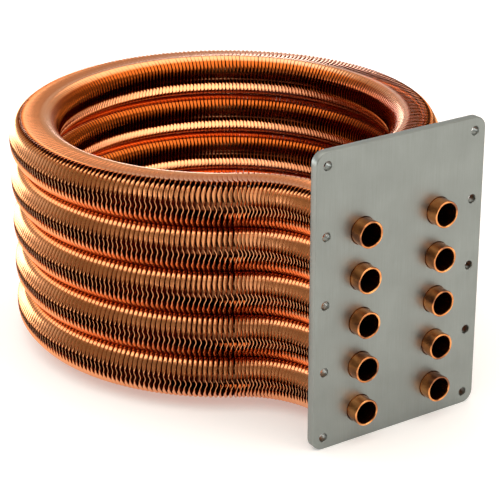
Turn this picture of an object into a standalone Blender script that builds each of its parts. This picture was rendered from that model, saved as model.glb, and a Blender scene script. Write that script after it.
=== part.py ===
"""Finned-tube heat exchanger coil: five stacked loops of finned copper tube on one tube sheet.

Frame: metres, +Z up, +X to the right seen from the front, +Y towards the coil.
The origin is on the tube sheet's front sealing face, at the centre of its screw pattern.
"""

import math

import bmesh
import bpy
from mathutils import Vector

# Tube sheet (the flat plate that all ten tube ends pass through)
SHEET_WIDTH = 0.1622
SHEET_BOTTOM = -0.1246
SHEET_TOP = 0.1254
SHEET_THICKNESS = 0.0075
SHEET_CORNER_RADIUS = 0.010
SHEET_EDGE_CHAMFER = 0.0006
SCREW_HOLE_RADIUS = 0.0036
SCREW_COLUMN_X = 0.0708
SCREW_ROWS = 5
SCREW_PITCH = 0.0572
SCREW_HOLE_SIDES = 12

# Tubes
TUBE_COUNT = 5
TUBE_PITCH = 0.0381
TUBE_ROW_CENTRE_Z = -0.0213
LEG_X = 0.0367
STUB_LENGTH = 0.0110
TUBE_OUTER_RADIUS = 0.0111
TUBE_INNER_RADIUS = 0.00945
TUBE_SIDES = 12

# Plan of one loop: a straight leg, a reverse bend, a round ring, and the same again mirrored
RING_RADIUS = 0.1657
RING_CENTRE_Y = 0.2506
LEG_END_Y = 0.030
BEND_STEPS = 3
RING_FRONT_STEPS = 3
RING_QUARTER_STEPS = 5

# Fins: round discs with their tops and bottoms folded flat, so that the loops stack
FIN_RADIUS = 0.0220
FIN_FLAT_HALF_HEIGHT = 0.01885
FIN_SIDE_ANGLE = 13.0
FIN_SHOULDER_ANGLE = 36.0
FIN_START_Y = 0.0080

FIT_GAP = 0.0004


def clear_scene():
    for old in list(bpy.data.objects):
        bpy.data.objects.remove(old, do_unlink=True)


def make_material(name, colour, roughness, metallic):
    material = bpy.data.materials.new(name)
    material.use_nodes = True
    shader = material.node_tree.nodes["Principled BSDF"]
    shader.inputs["Base Color"].default_value = (*colour, 1.0)
    shader.inputs["Roughness"].default_value = roughness
    shader.inputs["Metallic"].default_value = metallic
    return material


def add_object(name, bm, material, flat_angle):
    """Links a finished bmesh as one object, shaded smooth below flat_angle."""
    bmesh.ops.recalc_face_normals(bm, faces=bm.faces)
    mesh = bpy.data.meshes.new(name)
    bm.to_mesh(mesh)
    bm.free()
    mesh.shade_smooth()
    mesh.set_sharp_from_angle(angle=flat_angle)
    mesh.materials.append(material)
    thing = bpy.data.objects.new(name, mesh)
    bpy.context.scene.collection.objects.link(thing)
    return thing


def reverse_bend_radius():
    """The radius of the bend that joins a straight leg to the ring, tangent to both."""
    run = RING_CENTRE_Y - LEG_END_Y
    return (LEG_X**2 + run**2 - RING_RADIUS**2) / (2 * (RING_RADIUS - LEG_X))


def loop_plan(start_y):
    """Stations along a loop from start_y on the left leg to start_y on the right one.

    Each is a point of the centreline and the direction away from the loop's inside, in plan.
    The loop is symmetrical about X = 0, and it has stations at its widest and farthest points.
    """
    bend_radius = reverse_bend_radius()
    bend_centre = Vector((-LEG_X - bend_radius, LEG_END_Y))
    ring_centre = Vector((0.0, RING_CENTRE_Y))
    to_ring = ring_centre - bend_centre
    sweep = math.atan2(to_ring.y, to_ring.x)
    left = [(Vector((-LEG_X, start_y)), Vector((-1.0, 0.0)))]
    for step in range(BEND_STEPS):
        angle = sweep * step / BEND_STEPS
        arm = Vector((math.cos(angle), math.sin(angle)))
        left.append((bend_centre + bend_radius * arm, -arm))
    front = [math.pi + sweep * (1 - step / RING_FRONT_STEPS) for step in range(RING_FRONT_STEPS)]
    quarter = math.pi / 2
    back = [math.pi - quarter * step / RING_QUARTER_STEPS for step in range(RING_QUARTER_STEPS)]
    for angle in front + back:
        arm = Vector((math.cos(angle), math.sin(angle)))
        left.append((ring_centre + RING_RADIUS * arm, arm))
    farthest = [(Vector((0.0, RING_CENTRE_Y + RING_RADIUS)), Vector((0.0, 1.0)))]
    right = [(Vector((-p.x, p.y)), Vector((-n.x, n.y))) for p, n in reversed(left)]
    return left + farthest + right


def round_section(radius, sides):
    """A regular polygon, as (outward, up) pairs, with a flat on each side."""
    turn = 2 * math.pi / sides
    return [
        (radius * math.cos((i + 0.5) * turn), radius * math.sin((i + 0.5) * turn))
        for i in range(sides)
    ]


def fin_section():
    """The fins' outline, as (outward, up) pairs: a circle cut by two flats, in twelve sides."""
    side = FIN_RADIUS / math.cos(math.radians(FIN_SIDE_ANGLE))
    flat_angle = math.degrees(math.asin(FIN_FLAT_HALF_HEIGHT / FIN_RADIUS))
    quarter = [(side, FIN_SIDE_ANGLE), (FIN_RADIUS, FIN_SHOULDER_ANGLE), (FIN_RADIUS, flat_angle)]
    upper = quarter + [(radius, 180 - angle) for radius, angle in reversed(quarter)]
    lower = [(radius, 180 + angle) for radius, angle in upper]
    return [
        (radius * math.cos(math.radians(angle)), radius * math.sin(math.radians(angle)))
        for radius, angle in upper + lower
    ]


def sweep_section(bm, section, plan, height):
    """Carries a section along a loop and returns its rings of vertices."""
    rings = []
    for point, outward in plan:
        ring = [
            bm.verts.new((point.x + out * outward.x, point.y + out * outward.y, height + rise))
            for out, rise in section
        ]
        rings.append(ring)
    for here, there in zip(rings, rings[1:]):
        for i in range(len(section)):
            j = (i + 1) % len(section)
            bm.faces.new((here[i], here[j], there[j], there[i]))
    return rings


def close_end(bm, outer, inner):
    """Fills the end of a wall between an outer and an inner ring of equally many vertices."""
    for i in range(len(outer)):
        j = (i + 1) % len(outer)
        bm.faces.new((outer[i], outer[j], inner[j], inner[i]))


def hollow_sweep(name, outer_section, inner_section, plan, height, material):
    """A closed tube with an outer and an inner wall, open at both mouths."""
    bm = bmesh.new()
    outer = sweep_section(bm, outer_section, plan, height)
    inner = sweep_section(bm, inner_section, plan, height)
    close_end(bm, outer[0], inner[0])
    close_end(bm, outer[-1], inner[-1])
    bmesh.ops.triangulate(bm, faces=bm.faces)
    return add_object(name, bm, material, math.radians(35))


def tube_heights():
    """The height of each loop, counted from the top."""
    middle = (TUBE_COUNT - 1) / 2
    return [TUBE_ROW_CENTRE_Z + TUBE_PITCH * (middle - i) for i in range(TUBE_COUNT)]


def rounded_outline(half_width, bottom, top, radius):
    """The tube sheet's outline, anticlockwise seen from the front, in X and Z."""
    corners = (
        (half_width - radius, bottom + radius, -90),
        (half_width - radius, top - radius, 0),
        (-half_width + radius, top - radius, 90),
        (-half_width + radius, bottom + radius, 180),
    )
    steps = 5
    points = []
    for x, z, start in corners:
        for step in range(steps + 1):
            angle = math.radians(start + 90 * step / steps)
            points.append((x + radius * math.cos(angle), z + radius * math.sin(angle)))
    return points


def make_sheet_blank(material):
    """The plate without its holes, with a small chamfer round both faces."""
    bm = bmesh.new()
    chamfer = SHEET_EDGE_CHAMFER
    levels = (
        (0.0, chamfer),
        (chamfer, 0.0),
        (SHEET_THICKNESS - chamfer, 0.0),
        (SHEET_THICKNESS, chamfer),
    )
    rings = []
    for y, inset in levels:
        outline = rounded_outline(
            SHEET_WIDTH / 2 - inset,
            SHEET_BOTTOM + inset,
            SHEET_TOP - inset,
            SHEET_CORNER_RADIUS - inset,
        )
        rings.append([bm.verts.new((x, y, z)) for x, z in outline])
    for here, there in zip(rings, rings[1:]):
        for i in range(len(here)):
            j = (i + 1) % len(here)
            bm.faces.new((here[i], here[j], there[j], there[i]))
    bm.faces.new(rings[0])
    bm.faces.new(rings[-1])
    return add_object("tube_sheet", bm, material, math.radians(30))


def make_hole_cutter():
    """All the plate's holes as one hidden guide: ten for tubes and ten for screws."""
    bm = bmesh.new()
    tube_hole = round_section(TUBE_OUTER_RADIUS + FIT_GAP, TUBE_SIDES)
    screw_hole = round_section(SCREW_HOLE_RADIUS, SCREW_HOLE_SIDES)
    holes = []
    for height in tube_heights():
        holes += [(side * LEG_X, height, tube_hole) for side in (-1, 1)]
    middle = (SCREW_ROWS - 1) / 2
    for row in range(SCREW_ROWS):
        height = SCREW_PITCH * (middle - row)
        holes += [(side * SCREW_COLUMN_X, height, screw_hole) for side in (-1, 1)]
    overrun = 0.004
    for x, z, section in holes:
        ends = [
            [bm.verts.new((x + across, y, z + rise)) for across, rise in section]
            for y in (-overrun, SHEET_THICKNESS + overrun)
        ]
        for i in range(len(section)):
            j = (i + 1) % len(section)
            bm.faces.new((ends[0][i], ends[0][j], ends[1][j], ends[1][i]))
        bm.faces.new(ends[0])
        bm.faces.new(ends[1])
    bmesh.ops.recalc_face_normals(bm, faces=bm.faces)
    mesh = bpy.data.meshes.new("hole_cutter")
    bm.to_mesh(mesh)
    bm.free()
    cutter = bpy.data.objects.new("hole_cutter", mesh)
    bpy.context.scene.collection.objects.link(cutter)
    cutter.hide_render = True
    cutter.display_type = "WIRE"
    return cutter


def make_tube_sheet(material):
    sheet = make_sheet_blank(material)
    cut = sheet.modifiers.new("holes", "BOOLEAN")
    cut.operation = "DIFFERENCE"
    cut.solver = "EXACT"
    cut.object = make_hole_cutter()
    return sheet


def make_tubes(copper, fin_copper):
    """Each loop is a plain tube from stub to stub, with its fins as a sleeve round it."""
    bore = round_section(TUBE_INNER_RADIUS, TUBE_SIDES)
    wall = round_section(TUBE_OUTER_RADIUS, TUBE_SIDES)
    sleeve_bore = round_section(TUBE_OUTER_RADIUS + FIT_GAP, TUBE_SIDES)
    for number, height in enumerate(tube_heights(), start=1):
        tube_plan = loop_plan(-STUB_LENGTH)
        hollow_sweep(f"loop_{number}_tube", wall, bore, tube_plan, height, copper)
        fin_plan = loop_plan(FIN_START_Y)
        hollow_sweep(f"loop_{number}_fins", fin_section(), sleeve_bore, fin_plan, height, fin_copper)


def main():
    clear_scene()
    steel = make_material("satin_steel", (0.42, 0.43, 0.40), 0.42, 1.0)
    copper = make_material("copper_tube", (0.72, 0.32, 0.14), 0.22, 1.0)
    fin_copper = make_material("copper_fins", (0.80, 0.40, 0.24), 0.32, 1.0)
    make_tube_sheet(steel)
    make_tubes(copper, fin_copper)


main()
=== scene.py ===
"""Looks of the finned copper coil: folded fins, round tubes, satin tube sheet and a small studio.

Everything is in metres in the frame's axes: +Z up, +X to the right seen from the front, +Y from
the tube sheet towards the coil. Each loop is one omega in plan: a straight leg, a reverse bend,
a round ring, and the same again mirrored.
"""

import math

import bpy
import numpy as np
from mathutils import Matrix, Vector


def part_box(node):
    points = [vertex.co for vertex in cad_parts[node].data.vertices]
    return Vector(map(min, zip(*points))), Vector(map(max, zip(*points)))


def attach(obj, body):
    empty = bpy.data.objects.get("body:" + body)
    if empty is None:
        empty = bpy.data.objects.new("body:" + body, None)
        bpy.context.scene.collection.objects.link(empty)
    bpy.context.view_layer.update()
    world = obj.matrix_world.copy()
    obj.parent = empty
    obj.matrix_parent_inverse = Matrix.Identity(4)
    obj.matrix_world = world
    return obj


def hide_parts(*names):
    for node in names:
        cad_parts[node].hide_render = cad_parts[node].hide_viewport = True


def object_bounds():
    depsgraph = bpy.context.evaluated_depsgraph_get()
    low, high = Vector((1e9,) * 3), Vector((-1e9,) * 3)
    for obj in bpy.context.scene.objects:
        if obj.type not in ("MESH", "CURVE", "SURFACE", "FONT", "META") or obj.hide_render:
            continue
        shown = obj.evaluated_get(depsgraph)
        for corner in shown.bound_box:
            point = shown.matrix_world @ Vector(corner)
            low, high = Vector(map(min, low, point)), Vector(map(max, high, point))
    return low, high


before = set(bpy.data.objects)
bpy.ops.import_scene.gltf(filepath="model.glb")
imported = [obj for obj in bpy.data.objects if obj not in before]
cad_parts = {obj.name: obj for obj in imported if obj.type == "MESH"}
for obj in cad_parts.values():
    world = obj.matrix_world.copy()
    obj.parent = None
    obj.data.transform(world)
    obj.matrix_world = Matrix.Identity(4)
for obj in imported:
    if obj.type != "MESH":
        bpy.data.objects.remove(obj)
CAD_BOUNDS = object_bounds()

MM = 0.001

# Loop plan
LOOP_COUNT = 5
LEG_X = 0.0367
LEG_END_Y = 0.030
CAD_TUBE_SIDES = 12

# Fins: thin discs, their rims folded over along the tube into a flange. An angle round the tube
# is 0 away from the loop's inside, 90 degrees at the top and 180 towards the loop's inside.
FIN_PITCH = 0.00385
FIN_START_Y = 0.0085
FIN_THICKNESS = 0.00042
FIN_RIM_RADIUS = 0.0219
FIN_ROOT_OVERLAP = 0.0002
FLAT_HEIGHT = 0.01882
FLAT_SLACK = 0.00012
FLANGE_REACH = 0.0011
ROOT_SWAY = 0.75

# How steeply the flange climbs outwards from its fold to its edge, and how round the fold is.
# A side begins at the given cosine of the angle round the tube.
INNER_SIDE = -0.3
OUTER_SIDE = 0.5
FLANGE_RISE = 0.19
INNER_FLANGE_RISE = -0.02
OUTER_ROUNDING = 0.0012
OTHER_ROUNDING = 0.0006

# How far along the tube a folded rim may reach from its fin, back and forward, in pitches
BACKWARD_LIMIT = -0.9
FORWARD_LIMIT = 1.3

# Where the rim is pressed flat: middle angle, half width and how far the flat lies from the axis
PRESSED_BANDS = (
    (28.0, 24.0, 0.0213),
    (-37.0, 25.0, 0.0216),
    (123.0, 11.0, 0.0213),
    (200.0, 14.0, 0.0211),
)
# Flange length (mm) against angle
FLANGE_LENGTHS = (
    (-113, 4.2), (-107, 4.7), (-73, 4.7), (-66, 3.8), (-61, 2.6), (-56, 1.0), (-43, 1.9),
    (-33, 2.3), (-27, 1.8), (-22, 0.9), (-10, 0.3), (-5, 0.0), (5, 0.0), (12, 1.2), (18, 2.2),
    (25, 3.0), (31, 3.4), (36, 3.3), (40, 2.8), (45, 2.0), (49, 1.1), (54, 0.2), (59, 0.0),
    (62, 1.3), (67, 3.0), (71, 3.9), (77, 4.9), (103, 4.9), (112, 3.8), (118, 3.4), (129, 3.0),
    (136, 2.5), (156, 2.3), (168, 0.4), (188, 0.0), (195, 2.9), (199, 3.2), (206, 3.2),
    (211, 2.6), (215, 0.3), (225, 3.6),
)
# The same where a loop lies under another one: its flange stays long up to the top flat
BLUNT_TOPS = (
    (36, 3.3), (41, 3.1), (45, 2.8), (53, 2.7), (59, 3.6), (62, 4.3), (67, 4.7), (71, 4.8),
)
# How far the fold line wanders along the tube (mm) against angle
FOLD_SHIFTS = (
    (-113, -1.4), (-67, -0.6), (-61, 1.0), (-52, 1.8), (-25, 1.6), (-15, 1.3), (-7, 0.3),
    (-3, 0.0), (1, 0.4), (6, 1.3), (13, 0.9), (29, 0.3), (40, 0.0), (56, 0.0), (59, 0.2),
    (62, -0.7), (67, -1.5), (90, -1.7), (112, -1.5), (122, -1.0), (136, 0.2), (160, 0.4),
    (186, 0.2), (200, -0.6), (215, 0.3), (247, -1.4),
)
# The angles at which a fin has points, closer together where its rim turns
FIN_ANGLES = (
    -113, -90, -70, -64, -57, -49, -42, -35, -29, -23, -18, -14, -10, -5, -1, 3, 6, 11, 16,
    21, 26, 31, 36, 41, 45, 49, 53, 56, 59, 62, 67, 71, 77, 103, 112, 118, 124, 131, 136, 150,
    168, 186, 190, 195, 205, 211, 215, 225,
)
# Painted shade on the rim against angle, where 0 is bright and 1 is as dark as a fin's root: in
# the crevice under the loop above and on the coil's shaded inside
SHADE_BY_ANGLE = (
    (44, 0.0), (51, 0.30), (62, 0.30), (68, 0.0), (116, 0.0), (129, 0.14), (136, 0.50),
    (158, 0.50), (168, 0.60), (186, 0.60), (194, 0.0), (210, 0.0), (216, 0.60),
)
# Painted shade added at the corners of the folded section where the rim is: most in the crease on
# the fold's inside, a little at the flange's inner tip
CREASE_SHADE = (0.0, 0.6, 0.12, 0.0, 0.0, 0.0, 0.0)

# Unevenness from fin to fin: random spreads, and slow waves round the loop (degrees for a turn)
STATION_SPREAD = 0.00005
TURN_SPREAD = 0.35
FLANGE_SPREAD = 0.035
FOLD_SPREAD = 0.06
SLOW_TURN_WAVE = 1.2
QUICK_TURN_WAVE = 0.8
FOLD_WAVE = 0.12
SEED = 7

# Tubes
TUBE_SIDES = 48
TUBE_STATIONS = 260
TUBE_WALL = 0.00165
STUB_EDGE = 0.00035

# Tube sheet
TUBE_HOLE_GAP = 0.00012
TUBE_HOLE_SIDES = 56
SCREW_COLUMN_X = 0.0708
SCREW_ROWS = 5
SCREW_PITCH = 0.0572
SCREW_HOLE_RADIUS = 0.0036
SCREW_HOLE_SIDES = 40
SHEET_CORNER_RADIUS = 0.010
SHEET_CORNER_STEPS = 12
SHEET_EDGE = 0.0006

# The tubes turn dark brown behind the tube sheet's front face, between these two places: partly
# heat browning, partly painted shade where the tube lies in the grooves between the fins
DARK_START_Y = 0.003
DARK_FULL_Y = 0.009

# Camera: in front and to the left, looking down on the coil
CAMERA_PLACE = (-0.8328, -1.0407, 0.6002)
CAMERA_DOWN = 23.242
CAMERA_TURN = -33.642
CAMERA_LENS = 133.73
SENSOR_WIDTH = 36.0

FLOOR_HALF_SIZE = 12.0
COIL_MIDDLE = (0.0, 0.2, 0.0)


# --- Plan of a loop -------------------------------------------------------------------------


def loop_dimensions():
    """Tube radius, ring radius, ring centre and stub end, all read from a CAD tube's box."""
    low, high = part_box("loop_1_tube")
    flat_reach = (high.z - low.z) / 2
    tube_radius = flat_reach / math.cos(math.pi / CAD_TUBE_SIDES)
    ring_radius = high.x - flat_reach
    return {
        "tube": tube_radius,
        "ring": ring_radius,
        "centre_y": high.y - flat_reach - ring_radius,
        "stub_y": low.y,
    }


SIZE = loop_dimensions()
RUN = SIZE["centre_y"] - LEG_END_Y
BEND_RADIUS = (LEG_X**2 + RUN**2 - SIZE["ring"]**2) / (2 * (SIZE["ring"] - LEG_X))
BEND_SWEEP = math.atan2(RUN, LEG_X + BEND_RADIUS)
RING_SWEEP = math.pi + 2 * BEND_SWEEP


def loop_length(start_y):
    """The length of a loop's centreline between its two legs' ends at start_y."""
    leg = LEG_END_Y - start_y
    return 2 * (leg + BEND_RADIUS * BEND_SWEEP) + SIZE["ring"] * RING_SWEEP


def loop_path(start_y, distances):
    """The centreline at distances along a loop that starts at start_y on its left leg.

    Returns X, Y, the two parts of the direction away from the loop's inside, and the curvature.
    """
    leg = LEG_END_Y - start_y
    bend = BEND_RADIUS * BEND_SWEEP
    total = loop_length(start_y)
    along = np.asarray(distances, float)
    mirrored = along > total / 2
    near = np.where(mirrored, total - along, along)
    bend_angle = (near - leg) / BEND_RADIUS
    ring_angle = math.pi + BEND_SWEEP - (near - leg - bend) / SIZE["ring"]

    def by_part(on_leg, on_bend, on_ring):
        return np.where(near < leg, on_leg, np.where(near < leg + bend, on_bend, on_ring))

    x = by_part(
        -LEG_X,
        -LEG_X - BEND_RADIUS + BEND_RADIUS * np.cos(bend_angle),
        SIZE["ring"] * np.cos(ring_angle),
    )
    y = by_part(
        start_y + near,
        LEG_END_Y + BEND_RADIUS * np.sin(bend_angle),
        SIZE["centre_y"] + SIZE["ring"] * np.sin(ring_angle),
    )
    out_x = by_part(-1.0, -np.cos(bend_angle), np.cos(ring_angle))
    out_y = by_part(0.0, -np.sin(bend_angle), np.sin(ring_angle))
    curvature = by_part(0.0, -1 / BEND_RADIUS, 1 / SIZE["ring"])
    side = np.where(mirrored, -1.0, 1.0)
    return x * side, y, out_x * side, out_y, curvature


def loop_height(number):
    """The height of a loop's centreline; loop 1 is the top one."""
    low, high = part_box(f"loop_{number}_tube")
    return (low.z + high.z) / 2


# --- Meshes ---------------------------------------------------------------------------------


def smooth_object(name, mesh, material, sharp_angle):
    """Links a finished mesh as an object in one material, with smooth shading."""
    mesh.shade_smooth()
    mesh.set_sharp_from_angle(angle=math.radians(sharp_angle))
    mesh.materials.clear()
    mesh.materials.append(material)
    thing = bpy.data.objects.new(name, mesh)
    bpy.context.scene.collection.objects.link(thing)
    return thing


def quad_mesh(name, points, quads):
    """A mesh from arrays of points and of four-cornered faces."""
    mesh = bpy.data.meshes.new(name)
    mesh.vertices.add(len(points))
    mesh.vertices.foreach_set("co", np.asarray(points, np.float32).ravel())
    mesh.loops.add(quads.size)
    mesh.loops.foreach_set("vertex_index", quads.astype(np.int32).ravel())
    mesh.polygons.add(len(quads))
    mesh.polygons.foreach_set("loop_start", np.arange(0, quads.size, 4, dtype=np.int32))
    mesh.update(calc_edges=True)
    return mesh


def closed_grid(rows, columns):
    """The faces over rows and columns of points, where the last row and column join the first."""
    row = np.arange(rows)[:, None]
    column = np.arange(columns)[None, :]
    here = row * columns
    there = (row + 1) % rows * columns
    beside = (column + 1) % columns
    corners = [here + column, here + beside, there + beside, there + column]
    return np.stack(corners, axis=-1).reshape(-1, 4)


# --- Fins -----------------------------------------------------------------------------------


def curve_at(knots, angles):
    """Reads a curve, given as (angle, value) knots, at some angles."""
    return np.interp(angles, *zip(*knots))


def flange_lengths(number, angles):
    """How long a loop's flange is at each angle."""
    lengths = curve_at(FLANGE_LENGTHS, angles)
    if number > 1:
        blunt = (angles > BLUNT_TOPS[0][0]) & (angles < BLUNT_TOPS[-1][0])
        lengths = np.where(blunt, curve_at(BLUNT_TOPS, angles), lengths)
    return lengths * MM


def rim_radius(angles):
    """How far the rim reaches at each angle: round, cut by the flats and the pressed bands."""
    lift = np.abs(np.sin(np.radians(angles)))
    reach = np.minimum(FIN_RIM_RADIUS, FLAT_HEIGHT / np.maximum(lift, 0.1))
    for middle, half_width, distance in PRESSED_BANDS:
        offset = np.abs(angles - middle)
        chord = distance / np.cos(np.radians(np.minimum(offset, half_width)))
        reach = np.where(offset < half_width, np.minimum(reach, chord), reach)
    return reach


def fin_section(angles, lengths, shift_scale):
    """The seven corners of a fin's thin folded section at each angle, as (radius, along) pairs.

    The section runs from the root up the inside of the fold to the flange's edge, and back down
    over the outside of the fold, which is rounded.
    """
    shift = curve_at(FOLD_SHIFTS, angles) * MM * shift_scale
    edge = rim_radius(angles)
    lean = np.clip(lengths / FLANGE_REACH, 0.0, 1.0)
    away = np.cos(np.radians(angles))
    rise = np.where(away < INNER_SIDE, INNER_FLANGE_RISE, FLANGE_RISE)
    fold = edge - 0.9 * FLANGE_REACH * np.sqrt(1.0 - lean**2) - rise * lengths
    run = np.maximum(np.hypot(edge - fold, lengths), 0.01 * MM)
    outwards = (edge - fold) / run
    sideways = lengths / run
    half = FIN_THICKNESS / 2
    rounding = np.where(away > OUTER_SIDE, OUTER_ROUNDING, OTHER_ROUNDING)
    rounding = np.minimum(rounding, 0.55 * run)
    root = (np.full(len(angles), SIZE["tube"] - FIN_ROOT_OVERLAP), ROOT_SWAY * shift)
    before = (fold - rounding, shift - half)
    after = (
        fold + rounding * outwards + half * sideways,
        shift + rounding * sideways - half * outwards,
    )
    corner = (fold + half * sideways, shift - half)
    middle = tuple(0.25 * a + 0.5 * c + 0.25 * b for a, c, b in zip(before, corner, after))
    bulge = np.hypot(sideways, 1.0 + outwards)
    inside = (
        middle[0] - FIN_THICKNESS * sideways / bulge,
        middle[1] + FIN_THICKNESS * (1.0 + outwards) / bulge,
    )
    tip_inside = (edge - half * sideways, shift + lengths + half * outwards)
    tip_outside = (edge + half * sideways, shift + lengths - half * outwards)
    return [root, inside, tip_inside, tip_outside, after, middle, before]


def uneven_fins(turns, angles, lengths, random):
    """Every fin's points: out from the tube's axis, up from it, and along from the fin's station.

    turns says how far round the loop each fin is, in radians. The result is an array of fins,
    by the section's corners, by angles, by those three measures.
    """
    phases = random.uniform(0.0, 2 * math.pi, 3)
    limit = FLAT_HEIGHT + FLAT_SLACK
    fins = []
    for turn in turns:
        drift = SLOW_TURN_WAVE * math.sin(3 * turn + phases[0])
        drift += QUICK_TURN_WAVE * math.sin(7 * turn + phases[1])
        drift += random.normal(0.0, TURN_SPREAD)
        flange_scale = 1.0 + random.normal(0.0, FLANGE_SPREAD)
        shift_scale = 1.0 + FOLD_WAVE * math.sin(5 * turn + phases[2])
        shift_scale += random.normal(0.0, FOLD_SPREAD)
        turned = np.radians(angles + np.abs(np.cos(np.radians(angles))) ** 2 * drift)
        section = fin_section(angles, lengths * flange_scale, shift_scale)
        fins.append([
            (radius * np.cos(turned), np.clip(radius * np.sin(turned), -limit, limit), along)
            for radius, along in section
        ])
    return np.moveaxis(np.array(fins), 2, -1)


def make_fins(number, material, random):
    """All the fins of one loop as one piece of thin closed discs with folded rims."""
    total = loop_length(FIN_START_Y)
    count = int(total / FIN_PITCH)
    margin = (total - (count - 1) * FIN_PITCH) / 2
    stations = margin + FIN_PITCH * np.arange(count)
    stations = stations + random.normal(0.0, STATION_SPREAD, count)

    angles = np.array(FIN_ANGLES, float)
    turns = stations / total * 2 * math.pi
    fins = uneven_fins(turns, angles, flange_lengths(number, angles), random)
    corners, sides = fins.shape[1:3]
    out, rise, along = (fins[..., measure].ravel() for measure in range(3))
    station = np.repeat(stations, corners * sides)

    *_, curvature = loop_path(FIN_START_Y, station)
    stretch = 1.0 + curvature * out
    shift = np.clip(along / stretch, BACKWARD_LIMIT * FIN_PITCH, FORWARD_LIMIT * FIN_PITCH)
    x, y, out_x, out_y, _ = loop_path(FIN_START_Y, np.clip(station + shift, 0.0, total))
    height = loop_height(number) + rise
    points = np.stack([x + out * out_x, y + out * out_y, height], axis=-1)
    starts = np.arange(count)[:, None, None] * corners * sides
    quads = (starts + closed_grid(corners, sides)).reshape(-1, 4)
    mesh = quad_mesh("folded_fins", points, quads)

    # Depth is 0 at the rim and 1 at the tube, plus painted shade by angle and in the fold's
    # crease; the fin material darkens by it, partly real browning at the roots and partly painted
    # shade in the grooves
    depth_and_shade = (FIN_RIM_RADIUS - np.hypot(out, rise)) / (FIN_RIM_RADIUS - SIZE["tube"])
    painted_shade = np.add.outer(CREASE_SHADE, curve_at(SHADE_BY_ANGLE, angles))
    depth_and_shade += np.tile(painted_shade.ravel(), count)
    layer = mesh.attributes.new("depth", "FLOAT", "POINT")
    layer.data.foreach_set("value", np.asarray(depth_and_shade, np.float32))

    fins = smooth_object(f"loop_{number}_folded_fins", mesh, material, sharp_angle=50.0)
    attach(fins, "root")
    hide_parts(f"loop_{number}_fins")


# --- Tubes ----------------------------------------------------------------------------------


def make_tube(number, material):
    """One round tube from stub to stub, with its bore and softened ends."""
    start_y = SIZE["stub_y"]
    total = loop_length(start_y)
    outer = SIZE["tube"]
    bore = outer - TUBE_WALL
    body = np.linspace(STUB_EDGE, total - STUB_EDGE, TUBE_STATIONS)
    profile = [(STUB_EDGE, bore), (0.0, bore + STUB_EDGE), (0.0, outer - STUB_EDGE)]
    profile += [(distance, outer) for distance in body]
    profile += [(total, outer - STUB_EDGE), (total, bore + STUB_EDGE)]
    profile += [(distance, bore) for distance in body[::-1][:-1]]
    distances, radii = (np.array(values)[:, None] for values in zip(*profile))

    x, y, out_x, out_y, _ = loop_path(start_y, distances)
    turn = 2 * math.pi * np.arange(TUBE_SIDES) / TUBE_SIDES
    out = radii * np.cos(turn)
    height = loop_height(number) + radii * np.sin(turn)
    points = np.stack([x + out * out_x, y + out * out_y, height], axis=-1).reshape(-1, 3)
    mesh = quad_mesh("round_tube", points, closed_grid(len(profile), TUBE_SIDES))

    tube = smooth_object(f"loop_{number}_round_tube", mesh, material, sharp_angle=40.0)
    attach(tube, "root")
    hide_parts(f"loop_{number}_tube")


# --- Tube sheet -----------------------------------------------------------------------------


def circle(x, z, radius, sides):
    """The points of a round hole."""
    turns = [2 * math.pi * i / sides for i in range(sides)]
    return [(x + radius * math.cos(turn), z + radius * math.sin(turn)) for turn in turns]


def sheet_outlines(low, high):
    """The plate's rounded outline, its ten tube holes and its ten screw holes, in X and Z."""
    radius = SHEET_CORNER_RADIUS
    corners = (
        (high.x - radius, low.z + radius, -90),
        (high.x - radius, high.z - radius, 0),
        (low.x + radius, high.z - radius, 90),
        (low.x + radius, low.z + radius, 180),
    )
    rim = []
    for x, z, start in corners:
        for step in range(SHEET_CORNER_STEPS + 1):
            angle = math.radians(start + 90 * step / SHEET_CORNER_STEPS)
            rim.append((x + radius * math.cos(angle), z + radius * math.sin(angle)))
    outlines = [rim]
    tube_hole = SIZE["tube"] + TUBE_HOLE_GAP
    for number in range(1, LOOP_COUNT + 1):
        height = loop_height(number)
        for side in (-1, 1):
            outlines.append(circle(side * LEG_X, height, tube_hole, TUBE_HOLE_SIDES))
    middle = (SCREW_ROWS - 1) / 2
    for row in range(SCREW_ROWS):
        height = SCREW_PITCH * (middle - row)
        for side in (-1, 1):
            x = side * SCREW_COLUMN_X
            outlines.append(circle(x, height, SCREW_HOLE_RADIUS, SCREW_HOLE_SIDES))
    return outlines


def cut_plate(outlines, thickness):
    """A mesh of a plate cut along outlines and lying flat, with all its edges softened."""
    curve = bpy.data.curves.new("sheet_outline", "CURVE")
    curve.dimensions = "2D"
    curve.fill_mode = "BOTH"
    for outline in outlines:
        spline = curve.splines.new("POLY")
        spline.points.add(len(outline) - 1)
        for point, (x, z) in zip(spline.points, outline):
            point.co = (x, z, 0.0, 1.0)
        spline.use_cyclic_u = True
    curve.bevel_depth = SHEET_EDGE
    curve.bevel_resolution = 2
    curve.offset = -SHEET_EDGE
    curve.extrude = thickness / 2 - SHEET_EDGE
    guide = bpy.data.objects.new("sheet_outline", curve)
    bpy.context.scene.collection.objects.link(guide)
    bpy.context.view_layer.update()
    seen = guide.evaluated_get(bpy.context.evaluated_depsgraph_get())
    mesh = bpy.data.meshes.new_from_object(seen)
    bpy.data.objects.remove(guide, do_unlink=True)
    return mesh


def make_sheet(material):
    """The tube sheet, cut lying flat and then stood upright in its place."""
    low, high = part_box("tube_sheet")
    mesh = cut_plate(sheet_outlines(low, high), high.y - low.y)
    flat = np.empty(len(mesh.vertices) * 3)
    mesh.vertices.foreach_get("co", flat)
    x, z, depth = flat.reshape(-1, 3).T
    upright = np.stack([x, (low.y + high.y) / 2 - depth, z], axis=-1)
    mesh.vertices.foreach_set("co", upright.ravel())
    mesh.update()
    sheet = smooth_object("drilled_sheet", mesh, material, sharp_angle=50.0)
    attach(sheet, "root")
    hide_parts("tube_sheet")


# --- Materials ------------------------------------------------------------------------------


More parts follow.
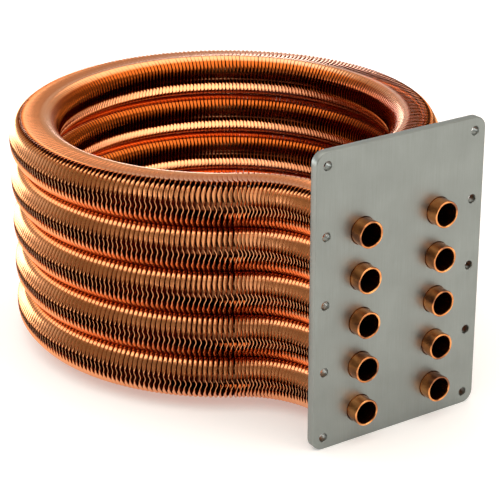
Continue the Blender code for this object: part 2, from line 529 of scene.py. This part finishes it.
class Nodes:
    """Short calls for building one node tree that ends in a shader that is already there."""

    def __init__(self, owner, shader):
        owner.use_nodes = True
        self.tree = owner.node_tree
        self.shader = self.tree.nodes[shader]

    def add(self, kind, **settings):
        node = self.tree.nodes.new(kind)
        for key, value in settings.items():
            setattr(node, key, value)
        return node

    def link(self, source, target):
        self.tree.links.new(source, target)

    def place(self, scale=(1.0, 1.0, 1.0)):
        """The object's own coordinates, stretched by a scale."""
        coords = self.add("ShaderNodeTexCoord")
        mapping = self.add("ShaderNodeMapping")
        mapping.inputs["Scale"].default_value = scale
        self.link(coords.outputs["Object"], mapping.inputs["Vector"])
        return mapping.outputs["Vector"]

    def part(self, vector, axis):
        """One axis of a vector."""
        split = self.add("ShaderNodeSeparateXYZ")
        self.link(vector, split.inputs["Vector"])
        return split.outputs[axis]

    def noise(self, vector, scale, detail, roughness=0.5):
        node = self.add("ShaderNodeTexNoise")
        node.inputs["Scale"].default_value = scale
        node.inputs["Detail"].default_value = detail
        node.inputs["Roughness"].default_value = roughness
        self.link(vector, node.inputs["Vector"])
        return node.outputs["Fac"]

    def ramp(self, value, stops):
        """A colour for each value, from (value, colour) stops."""
        node = self.add("ShaderNodeValToRGB")
        elements = node.color_ramp.elements
        while len(elements) < len(stops):
            elements.new(0.5)
        for element, (position, colour) in zip(elements, stops):
            element.position = position
            element.color = (*colour, 1.0)
        self.link(value, node.inputs["Fac"])
        return node.outputs["Color"]

    def mix(self, factor, first, second, blend="MIX"):
        """Two colours mixed. The factor and each colour are either a constant or a socket."""
        node = self.add("ShaderNodeMix", data_type="RGBA", blend_type=blend)
        if isinstance(factor, float):
            node.inputs[0].default_value = factor
        else:
            self.link(factor, node.inputs[0])
        for socket, value in ((node.inputs[6], first), (node.inputs[7], second)):
            if isinstance(value, tuple):
                socket.default_value = (*value, 1.0)
            else:
                self.link(value, socket)
        return node.outputs[2]

    def spread(self, value, low, high, start=0.3, end=0.7):
        """Carries a value's range from start to end over to low to high."""
        node = self.add("ShaderNodeMapRange")
        node.inputs["From Min"].default_value = start
        node.inputs["From Max"].default_value = end
        node.inputs["To Min"].default_value = low
        node.inputs["To Max"].default_value = high
        self.link(value, node.inputs["Value"])
        return node.outputs["Result"]

    def bump(self, value, strength, distance):
        node = self.add("ShaderNodeBump")
        node.inputs["Strength"].default_value = strength
        node.inputs["Distance"].default_value = distance
        self.link(value, node.inputs["Height"])
        self.link(node.outputs["Normal"], self.shader.inputs["Normal"])

    def metal(self, colour, roughness):
        self.link(colour, self.shader.inputs["Base Color"])
        self.link(roughness, self.shader.inputs["Roughness"])
        self.shader.inputs["Metallic"].default_value = 1.0


def new_material(name):
    """An empty material and the nodes that it is built with."""
    material = bpy.data.materials.new(name)
    return material, Nodes(material, "Principled BSDF")


def copper_fin_material():
    """Bright rolled copper, darkened towards the tube by the depth attribute: partly browning at
    the roots, partly painted shade in the grooves, the crevices, the coil's inside and the folds'
    creases.
    """
    material, m = new_material("folded_copper")
    patches = m.noise(m.place(), 9.0, 3.0)
    specks = m.noise(m.place(), 420.0, 3.0, 0.6)
    stops = ((0.30, (0.92, 0.36, 0.145)), (0.55, (0.93, 0.40, 0.18)), (0.75, (0.94, 0.46, 0.25)))
    warm = m.ramp(patches, stops)
    colour = m.mix(m.spread(specks, 0.0, 0.14), warm, (0.84, 0.30, 0.10))
    # Painted shade: the depth attribute darkens the copper towards the tube, in the crevices, on
    # the coil's inside and in the folds' creases
    depth = m.add("ShaderNodeAttribute", attribute_name="depth").outputs["Fac"]
    stops = ((0.16, (1.0, 1.0, 1.0)), (0.40, (0.70, 0.36, 0.12)), (0.75, (0.24, 0.09, 0.03)))
    browned_and_shaded = m.mix(1.0, colour, m.ramp(depth, stops), "MULTIPLY")
    m.metal(browned_and_shaded, m.spread(specks, 0.16, 0.22))
    m.bump(specks, 0.06, 0.0001)
    return material


def copper_tube_material():
    """Drawn copper with fine lines along it, streaked with heat colour, and dark behind the tube
    sheet: partly heat browning, partly painted shade in the grooves between the fins.
    """
    material, m = new_material("drawn_copper")
    patches = m.noise(m.place((1.0, 0.45, 1.0)), 75.0, 4.0)
    lines = m.noise(m.place((900.0, 40.0, 900.0)), 1.0, 2.0)
    stops = ((0.36, (0.26, 0.10, 0.05)), (0.50, (0.72, 0.27, 0.09)), (0.64, (0.98, 0.44, 0.16)))
    warm = m.ramp(patches, stops)
    # Painted shade: the tube turns dark brown behind the sheet, where it lies deep in the grooves
    # between the fins
    behind = m.spread(m.part(m.place(), "Y"), 0.0, 1.0, DARK_START_Y, DARK_FULL_Y)
    m.metal(m.mix(behind, warm, (0.16, 0.06, 0.025)), m.spread(lines, 0.14, 0.24))
    m.bump(lines, 0.06, 0.0001)
    return material


def sheet_material():
    """Satin steel with an upright grain and faint mottling."""
    material, m = new_material("grained_steel")
    grain = m.noise(m.place((1500.0, 1500.0, 30.0)), 1.0, 3.0, 0.6)
    mottle = m.noise(m.place(), 30.0, 4.0)
    tone = m.ramp(mottle, ((0.30, (0.242, 0.262, 0.248)), (0.70, (0.278, 0.302, 0.286))))
    colour = m.mix(m.spread(grain, 0.0, 0.35), tone, (0.235, 0.245, 0.225))
    m.metal(colour, m.spread(grain, 0.36, 0.48))
    m.bump(grain, 0.12, 0.0002)
    return material


def floor_material():
    """Plain matt white that also glows a little."""
    material, m = new_material("pale_floor")
    m.shader.inputs["Base Color"].default_value = (0.84, 0.84, 0.84, 1.0)
    m.shader.inputs["Roughness"].default_value = 0.9
    m.shader.inputs["Specular IOR Level"].default_value = 0.2
    m.shader.inputs["Emission Color"].default_value = (1.0, 1.0, 1.0, 1.0)
    m.shader.inputs["Emission Strength"].default_value = 0.30
    return material


# --- Studio ---------------------------------------------------------------------------------


def make_camera():
    data = bpy.data.cameras.new("camera")
    data.sensor_width = SENSOR_WIDTH
    data.lens = CAMERA_LENS
    camera = bpy.data.objects.new("camera", data)
    camera.location = CAMERA_PLACE
    camera.rotation_euler = (math.radians(90.0 - CAMERA_DOWN), 0.0, math.radians(CAMERA_TURN))
    bpy.context.scene.collection.objects.link(camera)
    bpy.context.scene.camera = camera


def make_floor():
    """One flat floor at the height of the object's lowest point."""
    low, _ = CAD_BOUNDS
    corners = [(-1, -1), (1, -1), (1, 1), (-1, 1)]
    points = [(x * FLOOR_HALF_SIZE, y * FLOOR_HALF_SIZE, low[2]) for x, y in corners]
    mesh = bpy.data.meshes.new("floor")
    mesh.from_pydata(points, [], [(0, 1, 2, 3)])
    mesh.materials.append(floor_material())
    floor = bpy.data.objects.new("floor", mesh)
    bpy.context.scene.collection.objects.link(floor)


def soft_light(name, place, size, power, target=COIL_MIDDLE):
    """A rectangular lamp that faces a target."""
    data = bpy.data.lights.new(name, "AREA")
    data.shape = "RECTANGLE"
    data.size, data.size_y = size
    data.energy = power
    light = bpy.data.objects.new(name, data)
    light.location = place
    light.visible_camera = False
    bpy.context.scene.collection.objects.link(light)
    x, y, z = np.array(target) - np.array(light.location)
    tilt = math.atan2(math.hypot(x, y), -z)
    light.rotation_euler = (tilt, 0.0, math.atan2(y, x) - math.pi / 2)


def tinted(levels, tint, start):
    """Turns (height, grey level) stops into colours that take on a tint from start upwards."""
    stops = []
    for height, level in levels:
        warmth = min(max((height - start) / 0.25, 0.0), 1.0)
        stops.append((height, tuple(level * (1 - warmth * (1 - part)) for part in tint)))
    return stops


def make_world():
    """A white sweep behind the object and a dimmer room in front of it, both by height."""
    world = bpy.data.worlds.new("studio")
    bpy.context.scene.world = world
    m = Nodes(world, "Background")
    direction = m.add("ShaderNodeTexCoord").outputs["Generated"]
    height = m.part(direction, "Z")
    facing_back = m.ramp(m.part(direction, "Y"), ((0.0, (0.0, 0.0, 0.0)), (0.4, (1.0, 1.0, 1.0))))
    back = ((0.0, 1.1), (0.06, 0.9), (0.14, 0.6), (0.30, 0.62), (0.55, 0.50), (1.0, 0.8))
    front = ((0.0, 0.12), (0.15, 0.14), (0.40, 0.22), (0.60, 0.36), (1.0, 0.8))
    warm = (1.0, 0.87, 0.70)
    amber = (1.0, 0.80, 0.56)
    front_colour = m.ramp(height, tinted(front, amber, -0.1))
    back_colour = m.ramp(height, tinted(back, warm, 0.3))
    m.link(m.mix(facing_back, front_colour, back_colour), m.shader.inputs["Color"])


def make_studio():
    make_camera()
    make_floor()
    make_world()
    soft_light("overhead", (-0.2, 0.2, 3.0), (6.0, 6.0), 150.0)
    soft_light("front_right", (0.60, -1.18, 0.42), (0.5, 0.5), 3.0)
    soft_light("key", (-0.30, -1.55, 1.10), (0.6, 0.6), 0.8)
    soft_light("low_backdrop", (-0.55, 2.30, 0.15), (5.2, 0.55), 36.0)
    soft_light(
        "inside_the_coil", (0.02, 0.29, -0.12), (0.12, 0.10), 0.06, target=(0.02, 0.29, 1.0)
    )
    bpy.context.scene.view_settings.view_transform = "Standard"


# --- Assembly -------------------------------------------------------------------------------


def main():
    make_studio()
    fin_copper = copper_fin_material()
    tube_copper = copper_tube_material()
    random = np.random.default_rng(SEED)
    for number in range(1, LOOP_COUNT + 1):
        make_fins(number, fin_copper, random)
        make_tube(number, tube_copper)
    make_sheet(sheet_material())


main()
